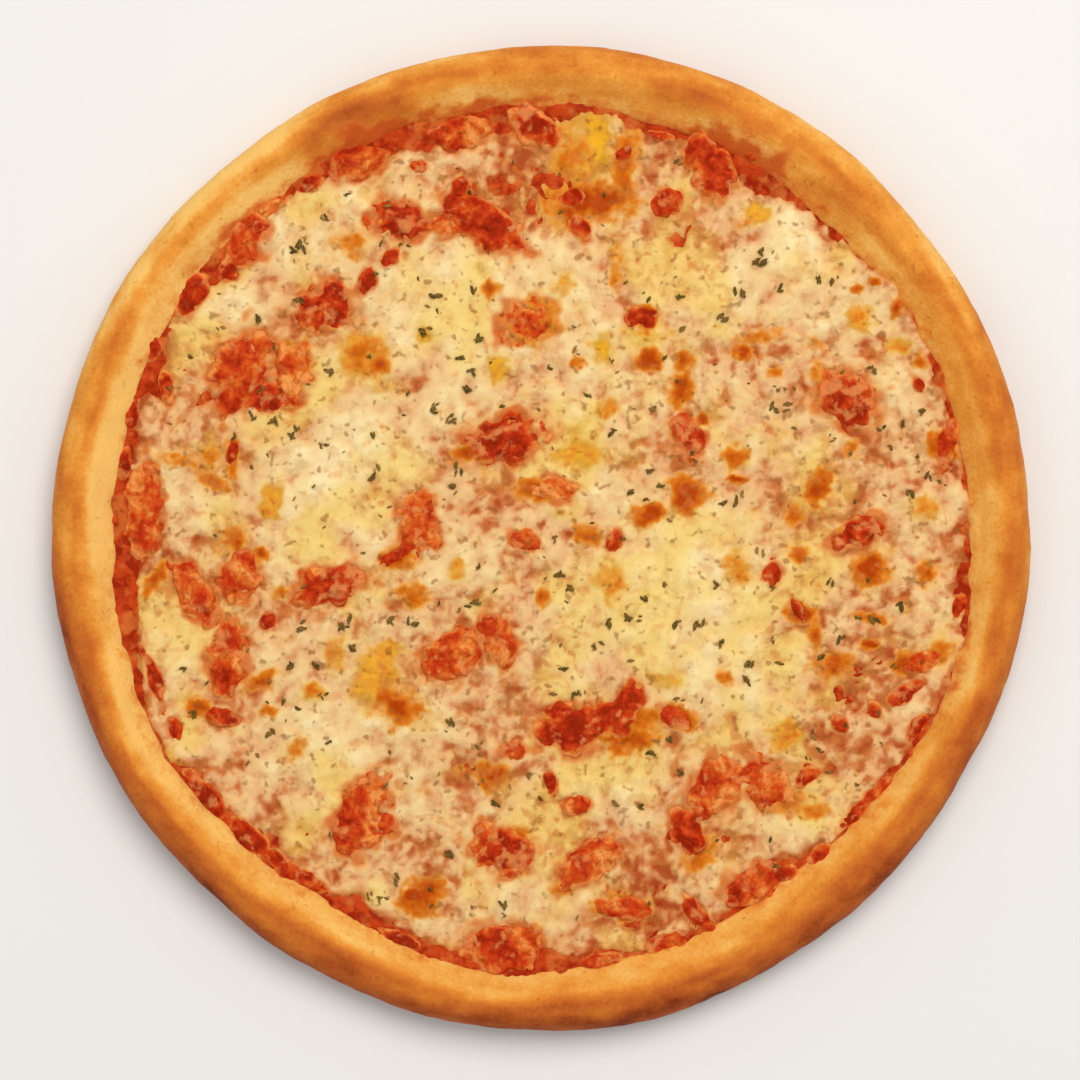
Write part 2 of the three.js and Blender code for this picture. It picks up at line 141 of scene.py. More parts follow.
# Blisters in the cheese: x, y, length and width in millimetres, turn in degrees, and how browned and how
# yellow they are, from 0 to 1
Blister = namedtuple("Blister", "x y length width turn browned yellow")
BLISTERS = [Blister(*row) for row in (
    (-35, -111, 17, 12, 15, 0.9, 0.4), (-37, -111, 10, 7, 15, 1.0, 0), (44, 13, 13, 12, 0, 1.0, 0.3),
    (33, 7, 11, 9, 20, 0.9, 0.4), (-55, 55, 16, 15, -30, 0.5, 1.0), (-51, 51, 9, 8, 0, 0.75, 0.6),
    (15, 120, 21, 10, 85, 0, 1.0), (7, 113, 34, 14, 85, 0.5, 0.7), (14, 103, 28, 12, 0, 1.0, 0.5),
    (24, 114, 28, 9, 80, 0.6, 0.5), (-3, 66, 17, 14, 60, 0.6, 0.6), (42, 45, 13, 8, 80, 0.85, 0.3),
    (43, 54, 7, 7, 0, 0.8, 0.3), (59, 25, 9, 8, 0, 0.75, 0.7), (60, 18, 7, 3, 0, 1.0, 0),
    (95, 1, 9, 6, 0, 0.6, 0.1), (49, 36, 5, 4, 20, 0.9, 0), (85, 16, 14, 8, 75, 0.85, 0.3),
    (78, 7, 8, 6, 60, 0.75, 0.2), (101, -9, 14, 11, 40, 0.95, 0.4), (90, -38, 15, 10, 0, 0.65, 0.3),
    (76, -60, 11, 9, 45, 0.45, 1.0), (-50, -45, 14, 16, 0, 0.3, 1.0), (-43, -53, 15, 12, -30, 0.9, 0.7),
    (-46, -36, 9, 6, 0, 0.3, 0.9), (-39, -19, 12, 8, -30, 0.65, 0.6), (-44, -8, 11, 7, 0, 0.85, 0.4),
    (-14, -74, 12, 9, 0, 0.75, 0.7), (31, 67, 9, 8, -20, 0.95, 0.1), (32, 54, 9, 8, 0, 0.95, 0.1),
    (27, -114, 17, 8, -10, 0.9, 0.3), (97, 68, 8, 8, 0, 0.4, 1.0), (65, 100, 8, 6, 0, 0.2, 1.0),
    (-17, 75, 8, 6, 30, 0.75, 0.7), (-69, -49, 7, 6, 0, 0.5, 0.9), (-83, -55, 7, 5, 0, 0.55, 0.3),
    (-74, -67, 8, 6, 50, 0.5, 0.3), (-83, 9, 12, 7, 80, 0.3, 1.0), (118, -10, 9, 6, 80, 0.7, 0.6),
    (84, -83, 10, 7, 0, 0.5, 0.8), (44, -55, 12, 8, -40, 0.8, 0.5), (-95, -3, 12, 9, 20, 0.6, 0.5),
    (-60, 89, 12, 11, 30, 0.45, 0.3), (12, 25, 14, 9, 0, 0.3, 1.0), (14, 0, 8, 9, 60, 0.7, 0.3),
    (60, -9, 8, 12, 30, 0.4, 0.8), (-78, 54, 8, 10, 0, 0.6, 0.3), (-14, 51, 7, 9, 0, 0.1, 0.9),
    (33, -57, 11, 12, 0, 0.6, 0.5), (50, -97, 13, 8, 50, 0.8, 0.4), (76, -80, 11, 8, 50, 0.65, 0.5),
    (1, -19, 6, 6, 0, 0.75, 0.7), (-26, -11, 5, 7, 0, 0.35, 0.9), (79, -5, 7, 6, 0, 0.75, 0.5),
    (-63, -38, 7, 9, 20, 0.45, 0.7), (22, -14, 11, 14, 30, 0.35, 0.7), (109, 60, 8, 6, 0, 0.4, 0.9),
    (115, 55, 7, 5, -30, 0.55, 0.3), (123, 29, 12, 9, -50, 1.0, 0), (117, 10, 10, 8, 0, 0.35, 0.7),
    (-5, -92, 8, 6, 0, 0.6, 0.4), (8, 98, 12, 9, -60, 0.75, 0.2), (22, 83, 16, 5, 85, 0.5, 0.4),
    (19, 39, 9, 6, 30, 0.4, 0.8), (-111, -76, 8, 5, -60, 0.6, 0.5), (-104, -54, 9, 7, 0, 0.8, 0.2),
    (18, 58, 7, 9, 0, 0.1, 0.9), (-37, 61, 5, 6, 0, 0.2, 0.9), (-102, 24, 6, 13, 0, 0.4, 0.7),
    (-75, 52, 8, 12, 10, 0.7, 0.3), (-118, -15, 14, 5, 60, 0.7, 0.3), (-86, -7, 6, 5, 0, 0.8, 0.2),
    (5, 76, 12, 6, 70, 0.15, 0.6), (-112, 21, 16, 5, -8, 0.45, 0.4), (-101, 15, 13, 5, -25, 0.65, 0.5),
    (-95, 22, 5, 15, 0, 0.6, 0.3), (-80, -19, 6, 5, 0, 0.5, 0.2), (-2, 14, 14, 8, -5, 0.8, 0.2),
    (-22, 25, 14, 6, 15, 0.75, 0.1), (28, -63, 18, 10, 0, 0.75, 0.5), (-86, -46, 11, 6, 30, 0.75, 0.4),
    (57, -43, 7, 6, 0, 0.5, 0), (10, 53, 6, 5, 0, 0.6, 0.3), (-110, 72, 9, 6, 60, 0.8, 0.3),
    (95, 28, 8, 5, 60, 0.5, 0.1), (84, 60, 9, 4, -40, 0.35, 0.1), (66, 62, 18, 5, 10, 0.45, 0.2),
    (61, 57, 7, 5, 0, 1.0, 0), (71, 51, 6, 5, 0, 0.6, 0.1), (84, 52, 6, 9, 0, 0.5, 0.1),
    (-24, -72, 6, 4, 0, 0.4, 0.3), (8, -108, 10, 5, 0, 0.5, 0.2), (80, -23, 11, 6, -10, 1.0, 0),
    (84, -29, 5, 8, 0, 0.9, 0), (101, -24, 12, 4, -10, 0.8, 0.2), (101, -32, 7, 4, 0, 0.9, 0.2),
    (86, -38, 6, 5, 0, 0.5, 0.1), (112, -38, 9, 7, 0, 0.9, 0.2), (123, -34, 11, 8, 30, 0.5, 0.5),
    (60, 97, 7, 5, 0, 0.4, 0.1), (33, 60, 24, 13, 0, 0, 0.45), (12, 31, 18, 11, 0, 0, 0.5),
    (8, 8, 11, 8, 0, 0, 0.55), (-50, 46, 13, 8, 0, 0, 0.5), (39, -44, 13, 7, 0, 0, 0.6),
    (-62, -36, 10, 12, 0, 0, 0.45), (52, 67, 16, 11, 0, 0, 0.35), (70, 30, 16, 14, 0, 0, 0.35),
    (-20, 80, 14, 8, 0, 0, 0.35), (-112, -71, 12, 6, -60, 0, 0.5), (-35, -58, 12, 8, 0, 0, 0.4),
    (78, 84, 14, 8, -30, 0, 0.3), (28, -20, 18, 12, 30, 0, 0.35), (96, 77, 5, 4, 20, 0.8, 0),
    (101, 79, 4, 3, 0, 0.8, 0), (108, 71, 7, 4, 60, 0.9, 0),
)]

# Bits of tomato too small to be pieces of their own: x, y, length and width in millimetres, turn in degrees
TOMATO_BITS = [
    (-55, 77, 9, 6, 60), (-48, 84, 9, 4, 50), (-108, 72, 15, 7, 65), (-97, 80, 8, 5, 50),
    (37, 103, 9, 7, 20), (11, 94, 8, 6, -50), (30, 67, 9, 7, 10), (24, 118, 6, 4, 30), (124, 30, 12, 6, 80),
    (115, 48, 7, 4, -60), (-97, -57, 13, 5, -15), (-45, -7, 11, 6, 30), (43, -55, 14, 7, -20),
    (-8, -66, 9, 6, 20), (71, -10, 8, 6, 80), (12, -83, 8, 6, 10), (4, -76, 8, 4, -80),
    (27, -114, 14, 6, -10), (49, -115, 12, 5, -45), (87, -97, 9, 6, 35), (75, -102, 9, 6, 10),
    (118, -37, 10, 6, 20), (112, -47, 11, 5, 38), (22, -1, 7, 5, 80), (-5, -2, 10, 6, -10),
    (-72, 107, 9, 4, 30), (-84, 100, 8, 4, 40), (-120, 55, 8, 4, 75), (-116, 44, 10, 4, -75),
    (-40, 113, 6, 4, 0), (82, -73, 8, 5, 30), (103, -52, 7, 4, -50), (93, -57, 6, 4, -40),
    (35, 123, 9, 3, -10), (62, 118, 8, 4, -30), (-118, -45, 16, 4, -68), (-112, -60, 10, 4, -62),
    (-78, -102, 14, 4, -42), (-42, -124, 12, 4, -22), (20, -130, 12, 4, 8), (40, -124, 12, 5, 14),
    (104, -77, 10, 4, 42), (97, -84, 10, 4, 48), (115, -58, 9, 4, 55), (-128, 20, 9, 4, 85),
    (-126, 36, 9, 4, 78), (-48, -88, 12, 9, -30), (8, 104, 7, 5, 20), (-95, 24, 7, 3, 80),
    (79, -22, 8, 3, -60), (128, -20, 7, 4, 70), (-86, 41, 16, 9, 0), (-101, -82, 17, 5, -50),
    (-88, -94, 15, 6, -42), (-73, -105, 18, 5, -30), (-84, -28, 6, 4, 30), (-31, 95, 12, 8, -10),
    (-27, 106, 8, 6, 70), (19, -57, 15, 9, 25), (-58, -87, 12, 6, 75),
]

# How orange chunks are and how much cheese clings to them, with 0 the least, and the chunks' numbers
CHUNK_LOOKS = [
    (0.28, 0.0, "03 13 28 29 31"), (0.3, 0.6, "04 05 08 12 16 26"), (0.4, 1.5, "14 15 19"),
    (0.58, 0.3, "01 06 09 22 27 34"), (0.76, 0.3, "02 07 10 11 18 20 21 23 24 25 30 32 33"),
    (0.9, 0.5, "17"),
]

# Where the tomato chunks are reddest: x, y and size in millimetres, and strength
RED_SPOTS = [
    (-98, 39, 7, 0.3), (-86, 42, 5, 0.35), (-94, 55, 4, 0.2), (-58, -87, 7, 0.4), (-30, -40, 5, 0.45),
    (-14, -28, 4, 0.35), (-35, 2, 5, 0.4), (-103, -24, 5, 0.4), (-91, -18, 4, 0.25), (53, -72, 4, 0.35),
    (50, -84, 4, 0.2), (66, -74, 4, 0.4), (71, -82, 3, 0.3), (13, -96, 5, 0.4), (8, -104, 5, 0.3),
    (60, -109, 5, 0.35), (71, -102, 4, 0.3), (-62, 115, 6, 0.5), (-32, 124, 5, 0.35), (-12, -129, 6, 0.3),
    (-96, -47, 5, 0.35), (-94, -34, 4, 0.3), (91, 39, 6, 0.35), (-64, -20, 5, 0.2), (-4, 65, 4, 0.3),
]

# Marks on the rim: x, y and size in millimetres, and strength
SAUCE_SMEARS = [
    (62, 124, 7, 0.9), (52, 128, 5, 0.8), (72, 117, 5, 0.6), (-96, 94, 4, 0.6), (-125, 52, 4, 0.5),
    (128, -28, 4, 0.6), (104, -84, 5, 0.6), (-75, -112, 4, 0.5), (-20, 134, 4, 0.6), (132, 8, 4, 0.4),
    (-60, 122, 7, 1.0), (-70, 114, 5, 0.7), (-48, 127, 5, 0.7),
]
BROWN_SMUDGES = [
    (-59, 125, 9, 0.6), (-71, 117, 6, 0.45), (-46, 130, 6, 0.4), (40, 134, 8, 0.15), (-112, -96, 8, 0.12),
]
# Where sauce has crept up the rim: degrees, spread in degrees, and strength
CREPT_SAUCE = [
    (100, 28, 0.9), (62, 18, 1.0), (35, 14, 0.5), (-18, 12, 0.6), (-50, 14, 0.4), (135, 16, 0.7),
    (205, 12, 0.3), (255, 12, 0.3),
]

FLAKE_COUNT = 460
FLAKE_SHAPES = 8
FLAKE_REACH = 124 * MM  # how far from the centre flakes lie
# Where a pair of dark flakes stands out: x and y in millimetres
HERB_PLACES = [
    (66, 88), (65, 86), (67, 85), (-76, 88), (-77, 86), (-74, 87), (-75, 71), (-88, 65), (-22, 75),
    (-37, 62), (-34, 73), (-20, 60), (-26, 54), (-24, 44), (-22, 50), (-28, 34), (-51, 30), (-95, 29),
    (-89, 36), (-83, 33), (-77, 29), (-52, 17), (-27, 14), (-26, 19), (-65, 49), (42, 74), (42, 64),
    (55, 67), (59, 75), (84, 80), (88, 79), (73, 77), (75, 40), (71, 40), (21, 32), (33, 20), (27, 14),
    (119, 20), (113, 14), (60, 11), (56, 10), (102, 53), (116, 39), (110, 35), (6, -12), (9, -17),
    (21, -27), (27, -26), (32, -19), (41, -26), (49, -26), (48, -27), (56, -33), (64, -38), (65, -39),
    (64, -44), (74, -38), (72, -15), (54, -14), (89, -13), (8, -41), (40, -62), (35, -67), (44, -72),
    (32, -83), (103, -25), (92, -30), (86, -36), (110, -20), (-58, -26), (-61, -29), (-57, -35), (-73, -29),
    (-46, -27), (-40, -27), (-22, -22), (-19, -21), (-76, -41), (-68, -41), (-78, -52), (-82, -62),
    (-27, -98), (-43, -106), (-13, -83), (-27, -58), (-10, -113),
]

# --- Small tools ---


def smooth(x, low, high):
    """0 at low, 1 at high and a smooth rise between them, whichever is the greater."""
    share = np.clip((x - low) / (high - low), 0, 1)
    return share * share * (3 - 2 * share)


def noise(x, y, size, seed):
    """Smooth noise over a plane, from about -1 to 1, with lumps about as wide as size."""
    tile = 128
    turns = np.random.default_rng(seed).uniform(0, 2 * np.pi, (tile, tile))
    u, v = x / size, y / size
    column, row = np.floor(u).astype(int), np.floor(v).astype(int)
    u, v = u - column, v - row

    def corner(i, j):
        turn = turns[(column + i) % tile, (row + j) % tile]
        return np.cos(turn) * (u - i) + np.sin(turn) * (v - j)

    across, along = (t * t * t * (t * (t * 6 - 15) + 10) for t in (u, v))
    near = corner(0, 0) * (1 - across) + corner(1, 0) * across
    far = corner(0, 1) * (1 - across) + corner(1, 1) * across
    return 1.6 * (near * (1 - along) + far * along)  # 1.6 brings the peaks to about 1


def layered(x, y, size, seed, layers=3, keep=0.5):
    """Noise with finer and finer layers, each turned against the one before."""
    total, weight = 0, 1
    for layer in range(layers):
        turn = 0.9 * layer + seed
        u = x * math.cos(turn) - y * math.sin(turn)
        v = x * math.sin(turn) + y * math.cos(turn)
        total = total + weight * noise(u, v, size / 2**layer, seed + layer)
        weight *= keep
    return total


def deselect():
    """Leaves edit mode, with nothing selected."""
    if bpy.context.object and bpy.context.object.mode != "OBJECT":
        bpy.ops.object.mode_set(mode="OBJECT")
    bpy.ops.object.select_all(action="DESELECT")


def take(piece):
    """Makes a piece the only one that is selected, and the active one."""
    deselect()
    piece.select_set(True)
    bpy.context.view_layer.objects.active = piece


def primitive(add, name, **sizes):
    """Adds a primitive by its operator, selected on its own, and names it."""
    deselect()
    add(**sizes)
    piece = bpy.context.object
    piece.name = piece.data.name = name
    return piece


def placed(name, data):
    """A new object in the scene that holds this mesh, lamp or camera."""
    thing = bpy.data.objects.new(name, data)
    bpy.context.scene.collection.objects.link(thing)
    return thing


def points(piece):
    """A piece's vertices as an array of x, y, z rows."""
    flat = np.empty(3 * len(piece.data.vertices))
    piece.data.vertices.foreach_get("co", flat)
    return flat.reshape(-1, 3)


def move_points(piece, places):
    piece.data.vertices.foreach_set("co", np.ascontiguousarray(places, dtype=np.float32).ravel())
    piece.data.update()


def paint(piece, name, values):
    """Stores a number for each vertex, for the piece's material to read."""
    attribute = piece.data.attributes.new(name, "FLOAT", "POINT")
    attribute.data.foreach_set("value", np.clip(values, 0, 1).astype(np.float32))


def apply(piece, kind, **settings):
    """Adds a modifier with these settings and applies it."""
    take(piece)
    modifier = piece.modifiers.new(kind.lower(), kind)
    for setting, value in settings.items():
        setattr(modifier, setting, value)
    bpy.ops.object.modifier_apply(modifier=modifier.name)


def clouds(name, size, depth):
    """A texture of soft lumps, for a Displace modifier."""
    texture = bpy.data.textures.new(name, "CLOUDS")
    texture.noise_scale = size
    texture.noise_depth = depth
    return texture


def select_where(piece, kind, test):
    """Selects, in edit mode, the piece's faces or edges whose corners all pass the test."""
    bpy.ops.object.mode_set(mode="OBJECT")
    passed = test(points(piece))
    mesh = piece.data
    for group in (mesh.vertices, mesh.edges, mesh.polygons):
        group.foreach_set("select", np.zeros(len(group), bool))
    if kind == "EDGE":
        ends = np.empty(2 * len(mesh.edges), int)
        mesh.edges.foreach_get("vertices", ends)
        mesh.edges.foreach_set("select", passed[ends.reshape(-1, 2)].all(1))
    else:
        corners, starts = np.empty(len(mesh.loops), int), np.empty(len(mesh.polygons), int)
        mesh.loops.foreach_get("vertex_index", corners)
        mesh.polygons.foreach_get("loop_start", starts)
        mesh.polygons.foreach_set("select", np.logical_and.reduceat(passed[corners], starts))
    bpy.ops.object.mode_set(mode="EDIT")
    bpy.ops.mesh.select_mode(type=kind)


def finish_piece(piece, material, nodes=()):
    """Shades a piece smooth, gives it its material, and hangs it in the frame."""
    take(piece)
    bpy.ops.object.shade_smooth()
    piece.data.materials.clear()
    piece.data.materials.append(material)
    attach(piece, "root")
    if nodes:
        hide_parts(*nodes)


# --- What the frame says ---


def spokes(node, measure):
    """A function of the angle, through what measure finds on each spoke of a node's solid."""
    places = points(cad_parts[node])
    radius = np.hypot(places[:, 0], places[:, 1])
    step = np.round(np.arctan2(places[:, 1], places[:, 0]) / (2 * np.pi) * SPOKES).astype(int) % SPOKES
    found = [measure(radius[step == k], places[step == k, 2]) for k in range(SPOKES)]
    turns = np.arange(SPOKES + 1) * 2 * np.pi / SPOKES
    return lambda angle: np.interp(np.mod(angle, 2 * np.pi), turns, found + found[:1])


outer_edge = spokes("dough", lambda radius, height: radius.max())
well_edge = spokes("dough", lambda radius, height: radius[height > WELL_FLOOR + MM].min())
crest_height = spokes("dough", lambda radius, height: height.max())
cheese_edge = spokes("cheese", lambda radius, height: radius.max())
tomato_nodes = sorted(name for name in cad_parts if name.startswith("tomato_"))


def oval_of(node):
    """Centre, half length, half width and turn of a chunk, from its solid."""
    places = points(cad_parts[node])
    low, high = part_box(node)
    centre = np.array(((low + high) / 2)[:2])
    flat = places[:, :2] - centre
    along = np.linalg.svd(flat - flat.mean(0), full_matrices=False)[2][0]
    across = np.array((-along[1], along[0]))
    half_length, half_width = (np.ptp(flat @ way) / 2 for way in (along, across))
    return (*centre, half_length, half_width, math.atan2(along[1], along[0]))


def in_metres(x, y, length, width, turn):
    """Centre, half length, half width and turn of an oval, from a row in millimetres and degrees."""
    return x * MM, y * MM, length / 2 * MM, width / 2 * MM, math.radians(turn)


CHUNKS = [oval_of(node) for node in tomato_nodes]
BITS = [in_metres(*row) for row in TOMATO_BITS]


def wrapped(x, y, cx, cy, half_length, half_width, turn):
    """How far from an oval's centre, as a share of its size: 0 at the centre and 1 on the edge."""
    u = (x - cx) * math.cos(turn) + (y - cy) * math.sin(turn)
    v = (y - cy) * math.cos(turn) - (x - cx) * math.sin(turn)
    return np.hypot(u / half_length, v / half_width)


def oval_reach(x, y, ovals):
    """The least of the shares to a list of ovals, whose edges wander."""
    least = np.full(np.shape(x), FAR)
    for oval in ovals:
        least = np.minimum(least, wrapped(x, y, *oval))
    return least + 0.3 * layered(x, y, 7 * MM, 83, 2)


def spots(x, y, rows):
    """The sum of soft round spots: x, y and size in millimetres, and strength."""
    total = np.zeros(np.shape(x))
    for spot_x, spot_y, size, strength in rows:
        away = ((x - spot_x * MM) ** 2 + (y - spot_y * MM) ** 2) / (size * MM) ** 2
        total += strength * np.exp(-away)
    return total


# --- The lie of the toppings ---


def sauce_height(x, y):
    """Height of the sauce's lumpy surface, which climbs the foot of the rim."""
    climb = bank(x, y)
    pulp = (0.2 + 0.7 * smooth(climb, 0, 1)) * (np.abs(layered(x, y, 3.6 * MM, 12, 2)) - 0.35)
    return SAUCE_LEVEL + (0.35 * layered(x, y, 8 * MM, 11, 2) + pulp + climb) * MM


def cheese_inside(x, y):
    """How far inside the cheese's ragged edge a point lies, in millimetres."""
    radius, angle = np.hypot(x, y), np.arctan2(y, x)
    ragged = 1.9 * layered(x, y, 10 * MM, 21, 3) + 0.8 * layered(x, y, 3 * MM, 24, 2)
    further = np.interp(np.degrees(angle) % 360, *zip(*CHEESE_REACH))
    return (cheese_edge(angle) - radius) / MM + ragged + further


def cheese_cover(x, y):
    """Thickness of the cheese over the sauce, in millimetres. Below zero it is under the sauce."""
    heaps, thins = spots(x, y, CHEESE_HEAPS), spots(x, y, CHEESE_THINS)
    folds = 0.45 * layered(x, y, 17 * MM, 31, 2) + 0.7 * layered(x, y, 7 * MM, 35, 2, 0.4)
    bend = 1.6 * MM * noise(x, y, 8 * MM, 41)
    curds = np.abs(layered(x + bend, y - bend, 4.6 * MM, 42, 2, 0.35)) - 0.33
    thickness = CHEESE_THICKNESS + 0.65 * heaps - 0.85 * thins + folds
    thickness += curds * (0.98 - 0.7 * smooth(thickness, 1.5, 2.9))
    inside = cheese_inside(x, y)
    thickness = thickness * (0.35 + 0.65 * smooth(inside, -1, 6)) - 3 * smooth(inside, 1.5, -2.5)
    for ovals, tongue in ((CHUNKS, 1.9), (BITS, 1.3)):
        reach = oval_reach(x, y, ovals)
        band = smooth(reach, 0.35, 0.75) * smooth(reach, 1.5, 1.05)
        thickness += band * tongue * layered(x, y, 4.2 * MM, 61, 3)
        thickness -= 2.4 * smooth(reach, 0.8, 0.3)
    return thickness


def over_blisters(x, y, amount):
    """The most that amount(blister, reach) gives, where reach is 1 on a blister's wavering outline."""
    most = np.zeros(np.shape(x))
    for number, blister in enumerate(BLISTERS):
        outline = in_metres(*blister[:5])
        short, long = sorted((blister.length, blister.width))
        close = np.hypot(x - outline[0], y - outline[1]) < 1.1 * long * MM
        u, v = x[close], y[close]
        reach = wrapped(u, v, *outline) + 0.3 * layered(u, v, 0.5 * short * MM, 100 + number, 3)
        most[close] = np.maximum(most[close], amount(blister, reach))
    return most


def bank(x, y):
    """How far the toppings climb the foot of the rim, in millimetres."""
    to_rim = (well_edge(np.arctan2(y, x)) - np.hypot(x, y)) / MM
    return (2.4 + 0.9 * noise(x, y, 12 * MM, 15)) * smooth(to_rim, 9, 0)


def blister_domes(x, y):
    """Height of the blisters above the cheese, in millimetres: low domes with slightly sunken crowns."""
    def dome(blister, reach):
        size = 0.055 * min(blister.length, blister.width) * (0.4 + 0.6 * blister.browned)
        return size * (smooth(reach, 1.3, 0.3) - 0.3 * smooth(reach, 0.6, 0.1))

    return over_blisters(x, y, dome)


def cheese_height(x, y):
    """Height of the cheese's surface, blisters and all."""
    cover = cheese_cover(x, y)
    return SAUCE_LEVEL + (cover - 0.5 + bank(x, y) + blister_domes(x, y) * smooth(cover, -0.5, 1)) * MM


def tomato_height(x, y, reach, rise):
    """Height of a piece of tomato: a blunt dome of soft pulp."""
    dome = np.sqrt(np.clip(1 - (np.maximum(reach, 0) / 1.25) ** 2, 0, 1))
    pulp = 1.2 * (np.abs(layered(x, y, 4.0 * MM, 81, 2, 0.45)) - 0.35) + 0.8 * layered(x, y, 7 * MM, 85, 2)
    under = 0.3 + 1.2 * smooth(reach, 1.08, 1.3)
    return SAUCE_LEVEL + (rise * dome - under + 0.7 * bank(x, y) + pulp * smooth(dome, 0, 0.4)) * MM


def topping_height(x, y):
    """Height of whatever topping lies uppermost."""
    height = np.maximum(sauce_height(x, y), cheese_height(x, y))
    for ovals, rise in ((CHUNKS, CHUNK_RISE), (BITS, BIT_RISE)):
        height = np.maximum(height, tomato_height(x, y, oval_reach(x, y, ovals), rise))
    return height


# --- Finishes ---


def colour(red, green, blue):
    """A display colour, 0 to 255, as the linear colour that shaders take."""
    shares = (channel / 255 for channel in (red, green, blue))
    return (*(s / 12.92 if s < 0.04045 else ((s + 0.055) / 1.055) ** 2.4 for s in shares), 1)


# The faint warm gloss that all the food has
GLOSS = {"Specular_IOR_Level": 0.15, "Specular_Tint": colour(255, 190, 110)}


class Value:
    """A shader socket whose arithmetic adds Math nodes."""

    def __init__(self, finish, socket):
        self.finish, self.socket = finish, socket

    def __add__(self, other):
        return self.finish.maths("ADD", self, other)

    def __sub__(self, other):
        return self.finish.maths("SUBTRACT", self, other)

    def __rsub__(self, other):
        return self.finish.maths("SUBTRACT", other, self)

    def __mul__(self, other):
        return self.finish.maths("MULTIPLY", self, other)

    __radd__, __rmul__ = __add__, __mul__


class Finish:
    """A material on a Principled shader, whose patterns read the object's own coordinates."""

    def __init__(self, name, **constants):
        self.material = bpy.data.materials.new(name)
        self.material.use_nodes = True
        self.tree = self.material.node_tree
        self.shader = self.tree.nodes["Principled BSDF"]
        self.set(**constants)
        self.place = self.add("ShaderNodeTexCoord", output="Object")

    def add(self, kind, settings=(), output=0, inputs=()):
        """A node of this kind: its settings first, then its sockets' values or links."""
        node = self.tree.nodes.new(kind)
        for setting, value in dict(settings).items():
            if setting == "stops":
                self.set_stops(node.color_ramp, value)
            else:
                setattr(node, setting, value)
        for socket, value in dict(inputs).items():
            self.feed(node.inputs[socket], value)
        return Value(self, node.outputs[output])

    def set_stops(self, ramp, stops):
        while len(ramp.elements) < len(stops):
            ramp.elements.new(1)
        for element, (position, *shade) in zip(ramp.elements, stops):
            element.position, element.color = position, colour(*shade)

    def feed(self, socket, value):
        if isinstance(value, Value):
            self.tree.links.new(value.socket, socket)
        else:
            socket.default_value = value

    def maths(self, operation, *values):
        return self.add("ShaderNodeMath", {"operation": operation}, inputs=enumerate(values))

    def painted(self, name):
        return self.add("ShaderNodeAttribute", {"attribute_name": name}, "Fac")

    def noise(self, size, detail, roughness, distortion=0):
        sockets = {"Vector": self.place, "Scale": 1 / size, "Detail": detail,
                   "Roughness": roughness, "Distortion": distortion}
        return self.add("ShaderNodeTexNoise", inputs=sockets)

    def rise(self, value, low, high):
        """0 below low, 1 above high, and a smooth rise between them."""
        sockets = {"Value": value, "From Min": low, "From Max": high}
        return self.add("ShaderNodeMapRange", {"interpolation_type": "SMOOTHSTEP"}, inputs=sockets)

    def mix(self, factor, first, second):
        return self.add("ShaderNodeMix", {"data_type": "RGBA"}, 2, {0: factor, 6: first, 7: second})

    def over(self, base, top, value, low, high, strength=1):
        """The colour base with the colour top laid over it where value rises from low to high."""
        return self.mix(self.rise(value, low, high) * strength, base, top)

    def ramp(self, value, *stops):
        """A colour ramp, each stop its position and a display colour's red, green and blue."""
        return self.add("ShaderNodeValToRGB", {"stops": stops}, inputs={"Fac": value})

    def bump(self, height, depth, strength):
        sockets = {"Height": height, "Distance": depth, "Strength": strength}
        self.feed(self.shader.inputs["Normal"], self.add("ShaderNodeBump", inputs=sockets))

    def set(self, **values):
        """Feeds the shader's own sockets, with _ for each space in their names."""
        for socket, value in values.items():
            self.feed(self.shader.inputs[socket.replace("_", " ")], value)


def crust_finish():
    """Golden baked dough: paler inside, browner outside and underneath, with painted shade on the sides
    turned from the key lamp, stained where sauce soaked in.
    """
    finish = Finish("baked crust", **GLOSS)
    cloud = finish.noise(22 * MM, 2, 0.5)
    mottle = finish.noise(6 * MM, 3, 0.5)
    grain = finish.noise(1.2 * MM, 2, 0.5)
    fine = finish.noise(2.4 * MM, 2, 0.6)
    char = finish.noise(9 * MM, 3, 0.55, 0.3)
    browned = finish.painted("browned") + 0.35 * (mottle - 0.5) + 0.4 * (cloud - 0.5) + 0.25 * (grain - 0.5)
    baked = finish.ramp(browned, (0.02, 246, 194, 106), (0.26, 232, 154, 62), (0.48, 211, 122, 44),
                        (0.7, 190, 96, 38), (0.92, 156, 68, 26), (1.0, 124, 52, 18))
    freckled = finish.over(baked, colour(160, 84, 30), fine, 0.64, 0.76, 0.35)
    stain = finish.painted("smeared") + 1.3 * (mottle - 0.5) + 0.5 * (fine - 0.5)
    oily = finish.over(freckled, colour(220, 122, 48), stain, 0.25, 0.8, 0.75)
    smeared = finish.over(oily, colour(198, 78, 30), stain, 0.55, 1.0, 0.75)
    charred = finish.over(smeared, colour(112, 54, 20), char, 0.55, 0.68, 0.75 * finish.painted("underneath"))
    finish.set(Base_Color=charred, Roughness=0.55 + 0.2 * mottle)
    finish.bump(grain + 1.2 * mottle, 0.45 * MM, 0.5)
    return finish.material


